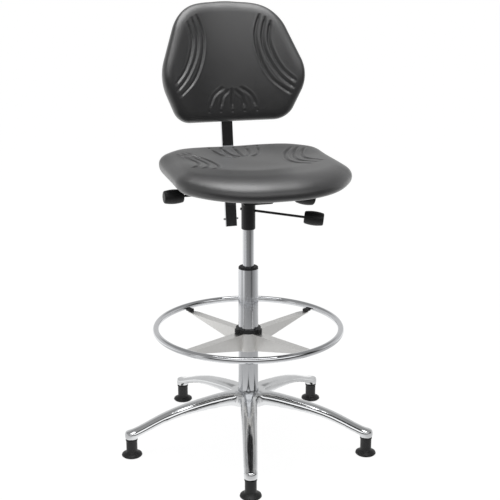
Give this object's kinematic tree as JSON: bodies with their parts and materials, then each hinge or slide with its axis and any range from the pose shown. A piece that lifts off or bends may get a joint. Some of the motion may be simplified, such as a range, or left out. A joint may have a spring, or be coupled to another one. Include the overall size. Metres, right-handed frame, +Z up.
{
  "type": "drafting chair",
  "caption": "Drafting chair with a gas column, a star base on glides, a sliding foot ring and a padded seat and backrest that tilt, slide and swivel.",
  "frame": {"origin": "centre of the footprint's bounding box, on the floor", "axes": "+Z up, the sitter faces -Y, and +X is on the right of someone who looks at the front"},
  "size_m": [0.6072, 0.6358, 1.0993],
  "materials": {
    "polished_aluminium": "polished",
    "chrome": "polished",
    "satin_steel": "satin",
    "bearing_steel": "polished",
    "black_steel": "satin",
    "grey_steel": "satin",
    "black_plastic": "satin",
    "bush_plastic": "matte",
    "stop_rubber": "matte",
    "plywood": "matte",
    "black_cover": "satin"
  },
  "bodies": {
    "base": {"star_base": "polished_aluminium", "glide_1": "black_plastic", "glide_2": "black_plastic", "glide_3": "black_plastic", "glide_4": "black_plastic", "glide_5": "black_plastic", "glide_pins": "satin_steel", "column_tube": "chrome", "guide_bush": "bush_plastic", "bearing_lower_race": "bearing_steel", "bearing_cage": "bush_plastic", "bearing_balls": "bearing_steel"},
    "gas_rod": {"piston_rod": "satin_steel", "retaining_clip": "satin_steel", "bearing_upper_race": "bearing_steel", "bump_stop": "stop_rubber", "piston": "satin_steel"},
    "mechanism": {"gas_cylinder": "chrome", "rod_seal": "stop_rubber", "taper_socket": "black_steel", "mechanism_housing": "black_steel", "tilt_pin": "satin_steel", "lever_bushings": "bush_plastic", "lever_pin": "satin_steel"},
    "ring_collet": {"clamp_collet": "bush_plastic"},
    "foot_ring": {"foot_ring_tube": "chrome", "ring_sleeve": "grey_steel", "spoke_1": "grey_steel", "spoke_2": "grey_steel", "spoke_3": "grey_steel", "spoke_4": "grey_steel", "ring_clips": "black_steel"},
    "collar": {"lock_collar": "black_plastic"},
    "release_lever": {"release_rod": "black_steel", "release_knob": "black_plastic"},
    "gas_valve": {"valve_pin": "satin_steel"},
    "seat": {"seat_carrier": "black_steel", "seat_core": "plywood", "seat_cushion": "black_cover", "seat_screws": "satin_steel", "back_pin": "satin_steel"},
    "seat_lever": {"lock_rod": "black_steel", "lock_knob": "black_plastic", "lock_cam": "satin_steel"},
    "angle_lever": {"angle_rod": "black_steel", "angle_knob": "black_plastic", "angle_cam": "satin_steel"},
    "back_frame": {"back_bracket": "black_steel"},
    "clamp": {"clamp_screw": "satin_steel", "clamp_knob": "black_plastic"},
    "upright": {"upright_bar": "chrome", "stop_pin": "satin_steel", "back_plate": "black_steel", "back_core": "plywood", "back_cushion": "black_cover", "back_screws": "satin_steel"}
  },
  "joints": [
    {"name": "seat_swivel", "type": "hinge", "parent": "base", "child": "gas_rod", "pos_m": [0.02934, 0, 0.1], "axis": [0, 0, 1], "continuous": true},
    {"name": "seat_height", "type": "slide", "parent": "gas_rod", "child": "mechanism", "axis": [0, 0, 1], "range_m": [-0.095, 0.165]},
    {"name": "ring_height", "type": "slide", "parent": "base", "child": "ring_collet", "axis": [0, 0, 1], "range_m": [-0.11, 0.06]},
    {"name": "ring_swivel", "type": "hinge", "parent": "ring_collet", "child": "foot_ring", "pos_m": [0.02934, 0, 0.3], "axis": [0, 0, 1], "continuous": true},
    {"name": "collar_turn", "type": "hinge", "parent": "foot_ring", "child": "collar", "pos_m": [0.02934, 0, 0.3], "axis": [0, 0, 1], "range_deg": [0, 90]},
    {"name": "gas_lever", "type": "hinge", "parent": "mechanism", "child": "release_lever", "pos_m": [0.01589, 0.00607, 0.60765], "axis": [0.4115, 0.9114, 0], "range_deg": [0, 10], "stiffness_Nm_per_rad": 1.5, "springref_deg": -11.46},
    {"name": "valve_stroke", "type": "slide", "parent": "mechanism", "child": "gas_valve", "axis": [0, 0, -1], "range_m": [0, 0.0027]},
    {"name": "seat_tilt", "type": "hinge", "parent": "mechanism", "child": "seat", "pos_m": [0.02934, -0.058, 0.664], "axis": [1, 0, 0], "range_deg": [-8, 3]},
    {"name": "seat_lever_turn", "type": "hinge", "parent": "mechanism", "child": "seat_lever", "pos_m": [0.02934, 0.014, 0.6485], "axis": [1, 0, 0], "range_deg": [-30, 30]},
    {"name": "angle_lever_turn", "type": "hinge", "parent": "mechanism", "child": "angle_lever", "pos_m": [0.02934, 0.008, 0.647], "axis": [1, 0, 0], "range_deg": [-30, 30]},
    {"name": "back_angle", "type": "hinge", "parent": "seat", "child": "back_frame", "pos_m": [0.02934, 0.106, 0.661], "axis": [1, 0, 0], "range_deg": [-12, 1]},
    {"name": "clamp_turn", "type": "hinge", "parent": "back_frame", "child": "clamp", "pos_m": [0.02934, 0.15408, 0.67066], "axis": [0, 0.9912, -0.1323], "range_deg": [0, 180]},
    {"name": "back_height", "type": "slide", "parent": "back_frame", "child": "upright", "axis": [0, 0.1323, 0.9912], "range_m": [-0.03, 0.055]}
  ],
  "couplings": [
    {"joint": "valve_stroke", "follows": "gas_lever", "m_per_rad": 0.01485}
  ]
}
